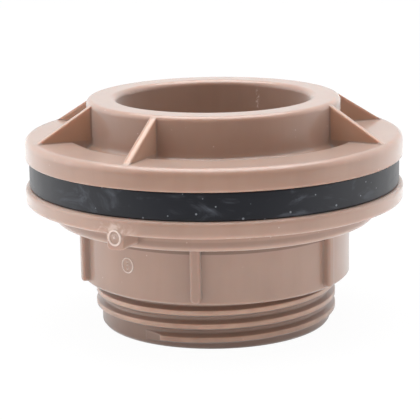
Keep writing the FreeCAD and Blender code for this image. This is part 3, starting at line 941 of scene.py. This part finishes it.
@dataclass(frozen=True)
class FlangeNut:
    """The back nut with its grips, gate lug and raised moulding marks.

    The flat curve is a radius so wide that a mark laid on it stays flat.
    """

    hub_radius: float = 23.4 * MM
    lug_reach: float = 32.5 * MM
    lug_bearing: float = math.radians(-119.3)
    lug_level: float = 21.35 * MM
    flat_curve: float = 20.0
    blush_rise: float = 1.2 * MM
    mark_bearing: float = math.radians(-128.3)
    mark_level: float = 14.17 * MM
    flange_edges: RingZone = RingZone(inner=31.3 * MM, outer=33.0 * MM, low=21.7 * MM,
                                      high=24.7 * MM, amount=0.9 * MM)
    # painted shade: a dark band on the hub just under the tier, and a darker band on the tier
    neck_shade: RingZone = RingZone(inner=22.0 * MM, outer=23.7 * MM, low=17.1 * MM,
                                    high=18.6 * MM, amount=0.75, fade=0.15 * MM)
    tier_shade: RingZone = RingZone(inner=27.4 * MM, outer=28.4 * MM, low=19.4 * MM,
                                    high=20.0 * MM, amount=0.32, fade=0.4 * MM)

    def finish(self) -> MouldedPlastic:
        """Gives the moulding's finish, with a pale blush over the gate, soft edges and painted
        shade below the tier and on it.
        """
        gate = (self.lug_reach * math.cos(self.lug_bearing),
                self.lug_reach * math.sin(self.lug_bearing), self.lug_level + self.blush_rise)
        blush = PalePatch(centre=gate, spread=(5.0 * MM, 4.0 * MM, 1.8 * MM),
                          strength=0.38, ragged=620.0)
        return MouldedPlastic(
            name="nut_plastic",
            deep=(0.308, 0.188, 0.138),
            light=(0.344, 0.213, 0.158),
            patches=(blush,),
            soft_edges=(self.flange_edges,),
            shade_bands=(self.neck_shade, self.tier_shade),
        )

    def marks(self) -> Tuple[RaisedMark, ...]:
        """Gives the ring on the gate lug's face and the oval on the hub."""
        return (
            RaisedMark(name="gate_ring_mark", width=2.1 * MM, height=2.4 * MM, bead=0.17 * MM,
                       distance=self.lug_reach, curve=self.flat_curve, bearing=self.lug_bearing,
                       level=self.lug_level, dots=1, dot_pitch=0.6 * MM),
            RaisedMark(name="cavity_oval_mark", width=2.25 * MM, height=2.5 * MM, bead=0.11 * MM,
                       distance=self.hub_radius, curve=self.hub_radius, bearing=self.mark_bearing,
                       level=self.mark_level, dots=3, dot_pitch=0.55 * MM),
        )

    def dress(self, groups: EffectGroups) -> None:
        """Puts the finish on the nut and adds its marks.

        Args:
            groups: The shared effects.
        """
        dress_node(Piece.FLANGE_NUT, self.finish().make(groups))
        pale = MouldedPlastic(name="mark_plastic", deep=(0.60, 0.45, 0.39),
                              light=(0.72, 0.58, 0.51), pale=(0.85, 0.76, 0.70),
                              mottle_scale=500.0, glow=0.0).make(groups)
        for mark in self.marks():
            piece = mark.build(pale)
            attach(piece, Body.NUT.value)
            LOG.info("%s: %d faces", piece.name, len(piece.data.polygons))


@dataclass(frozen=True)
class PhotoCamera:
    """The camera, set by where the part's axis falls in the picture."""

    aim_level: float = 26.01 * MM
    distance: float = 292.5 * MM
    elevation: float = 0.206181
    roll: float = -0.014405
    focal_pixels: float = 1684.967
    aim_right: float = 4.82
    aim_up: float = 39.149
    sensor: float = 36.0
    clip: Span = (0.01, 50.0)

    def matrix(self) -> Matrix:
        """Works out the camera's place and turn.

        Returns:
            The camera's world matrix.
        """
        low, rise = math.cos(self.elevation), math.sin(self.elevation)
        right = Vector((1.0, 0.0, 0.0))
        up = Vector((0.0, rise, low))
        ahead = Vector((0.0, low, -rise))
        place = Vector((0.0, 0.0, self.aim_level)) - ahead * self.distance
        tilt = math.atan(-self.aim_up / self.focal_pixels)
        up, ahead = (up * math.cos(tilt) - ahead * math.sin(tilt),
                     up * math.sin(tilt) + ahead * math.cos(tilt))
        swing = math.atan(self.aim_right / self.focal_pixels)
        right, ahead = (right * math.cos(swing) + ahead * math.sin(swing),
                        ahead * math.cos(swing) - right * math.sin(swing))
        right, up = (right * math.cos(self.roll) + up * math.sin(self.roll),
                     up * math.cos(self.roll) - right * math.sin(self.roll))
        turn = Matrix((right, up, -ahead)).transposed()
        return Matrix.Translation(place) @ turn.to_4x4()

    def build(self) -> None:
        """Makes the camera and looks through it."""
        data = bpy.data.cameras.new("photo_camera")
        data.sensor_fit = "HORIZONTAL"
        data.sensor_width = self.sensor
        data.lens = self.focal_pixels / PICTURE_PIXELS * data.sensor_width
        data.clip_start, data.clip_end = self.clip
        camera = bpy.data.objects.new("photo_camera", data)
        bpy.context.scene.collection.objects.link(camera)
        camera.matrix_world = self.matrix()
        bpy.context.scene.camera = camera


@dataclass(frozen=True)
class SoftBox:
    """One large soft lamp."""

    name: str
    place: Point
    target: Point
    wide: float
    tall: float
    watts: float

    def build(self) -> None:
        """Makes the lamp and points it at its target."""
        data = bpy.data.lights.new(self.name, "AREA")
        data.shape = "RECTANGLE"
        data.size = self.wide
        data.size_y = self.tall
        data.energy = self.watts
        lamp = bpy.data.objects.new(self.name, data)
        bpy.context.scene.collection.objects.link(lamp)
        lamp.location = self.place
        aim = Vector(self.target) - Vector(self.place)
        lamp.rotation_euler = aim.to_track_quat("-Z", "Y").to_euler()


@dataclass(frozen=True)
class Studio:
    """A white table, pale surroundings that are dark in front, and soft lamps.

    As light, the table glows from its reach out to its end. As mirrored, it fades to dark over its
    front and is darker under the part.
    """

    floor_radius: float = 3.0
    floor_steps: int = 96
    floor_pale: float = 0.96
    lift: float = 0.965
    table_glow: float = 0.54
    table_reach: Span = (0.021, 0.042)
    table_end: Span = (0.08, 0.15)
    under_dark: float = 0.25
    surround: float = 0.33
    front_dark: float = 0.06
    table_front: Span = (-0.145, -0.075)
    tent_front: Span = (-0.55, 0.05)
    lamps: Tuple[SoftBox, ...] = (
        SoftBox(name="top_box", place=(0.0, 0.05, 0.75), target=(0.0, 0.0, 0.03),
                wide=0.85, tall=0.85, watts=10.5),
        SoftBox(name="left_box", place=(-0.50, -0.05, 0.26), target=(0.0, 0.0, 0.02),
                wide=0.80, tall=0.44, watts=1.18),
        SoftBox(name="right_box", place=(0.50, -0.05, 0.26), target=(0.0, 0.0, 0.02),
                wide=0.80, tall=0.44, watts=0.5),
    )

    def build(self) -> None:
        """Makes the table, the surroundings and the lamps."""
        self._floor()
        self._surroundings()
        for lamp in self.lamps:
            lamp.build()
        bpy.context.scene.view_settings.view_transform = "Standard"

    def _floor(self) -> None:
        """Makes the round table that the part stands on."""
        turns = [2 * math.pi * k / self.floor_steps for k in range(self.floor_steps)]
        ring = [(self.floor_radius * math.cos(turn), self.floor_radius * math.sin(turn), 0.0)
                for turn in turns]
        mesh = bpy.data.meshes.new("studio_floor")
        mesh.from_pydata(ring, [], [tuple(range(self.floor_steps))])
        floor = bpy.data.objects.new("studio_floor", mesh)
        bpy.context.scene.collection.objects.link(floor)
        mesh.materials.append(self._table_finish())

    def _table_finish(self) -> bpy.types.Material:
        """Builds the table's finish: almost white as seen and as mirrored, and glowing as light.

        Returns:
            The finished material.
        """
        material, sheet = blank_material("floor_white")
        place = sheet.add("ShaderNodeTexCoord")
        split = sheet.add("ShaderNodeSeparateXYZ")
        sheet.link(place.outputs["Object"], split.inputs[0])
        away = sheet.add("ShaderNodeVectorMath", {"operation": "LENGTH"})
        sheet.link(place.outputs["Object"], away.inputs[0])
        far = away.outputs["Value"]
        _, mirrored, seen = self._rays(sheet)
        front = sheet.minus(1.0, sheet.ramp(split.outputs["Y"], *self.table_front))
        front_loss = sheet.times(sheet.times(mirrored, front), 1.0 - self.front_dark)
        # painted shadow: as mirrored, the table is darker under the part
        under = sheet.times(mirrored, sheet.ramp(far, *reversed(self.table_reach)))
        under_loss = sheet.times(under, self.under_dark)
        level = sheet.times(sheet.minus(1.0, front_loss), sheet.minus(1.0, under_loss))
        white = sheet.add("ShaderNodeEmission", Color=WHITE)
        sheet.link(level, white.inputs["Strength"])
        # painted shadow: the glow is left out under the part, inside its reach
        clear = sheet.times(sheet.ramp(far, *self.table_reach),
                            sheet.ramp(far, *reversed(self.table_end)))
        unseen = sheet.minus(1.0, seen)
        table = sheet.add("ShaderNodeEmission", Color=WHITE)
        shine = sheet.times(unseen, sheet.times(clear, self.table_glow))
        sheet.link(shine, table.inputs["Strength"])
        matt = sheet.add("ShaderNodeBsdfDiffuse", Color=(self.floor_pale,) * 3 + (1.0,))
        lit = sheet.add("ShaderNodeAddShader")
        sheet.link(matt.outputs[0], lit.inputs[0])
        sheet.link(table.outputs[0], lit.inputs[1])
        both = sheet.add("ShaderNodeMixShader")
        sheet.link(sheet.times(seen, self.lift), both.inputs[0])
        sheet.link(lit.outputs[0], both.inputs[1])
        sheet.link(white.outputs[0], both.inputs[2])
        sheet.close(both)
        return material

    def _surroundings(self) -> None:
        """Makes the surroundings: white as seen, dark in front as mirrored, and pale as light."""
        world = bpy.data.worlds.new("studio_surround")
        bpy.context.scene.world = world
        world.use_nodes = True
        world.node_tree.nodes.clear()
        sheet = NodeSheet(world.node_tree)
        place = sheet.add("ShaderNodeTexCoord")
        split = sheet.add("ShaderNodeSeparateXYZ")
        sheet.link(place.outputs["Generated"], split.inputs[0])
        camera, mirrored, seen = self._rays(sheet)
        behind = sheet.ramp(split.outputs["Y"], *self.tent_front)
        tent = sheet.plus(sheet.times(behind, 1.0 - self.front_dark), self.front_dark)
        strength = sheet.plus(sheet.times(mirrored, tent), camera)
        spread = sheet.times(sheet.minus(1.0, seen), self.surround)
        glow = sheet.add("ShaderNodeBackground", Color=WHITE)
        sheet.link(sheet.plus(strength, spread), glow.inputs["Strength"])
        sheet.close(glow, "ShaderNodeOutputWorld")

    @staticmethod
    def _rays(sheet: NodeSheet) -> Tuple[bpy.types.NodeSocket, ...]:
        """Adds the kinds of ray that tell what is seen from what gives light.

        Args:
            sheet: The tree's sheet.

        Returns:
            Whether a ray is from the camera, mirrored, and either of the two.
        """
        path = sheet.add("ShaderNodeLightPath")
        camera = path.outputs["Is Camera Ray"]
        mirrored = sheet.math("MAXIMUM", path.outputs["Is Glossy Ray"],
                              path.outputs["Is Transmission Ray"])
        return camera, mirrored, sheet.math("MAXIMUM", camera, mirrored)


def dress_node(piece: Piece, material: bpy.types.Material) -> None:
    """Gives a solid its finish.

    Args:
        piece: The solid.
        material: Its finish.
    """
    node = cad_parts[piece.value]
    node.data.materials.clear()
    node.data.materials.append(material)
    LOG.info("%s: %s", piece.value, material.name)


def main() -> None:
    """Builds the dressed part, the studio and the camera in order."""
    logging.basicConfig(level=logging.INFO, format="%(name)s %(message)s")
    groups = EffectGroups()
    ConnectorBody().dress(groups)
    SealingRing().dress(groups)
    FlangeNut().dress(groups)
    Studio().build()
    PhotoCamera().build()


if __name__ == "__main__":
    main()
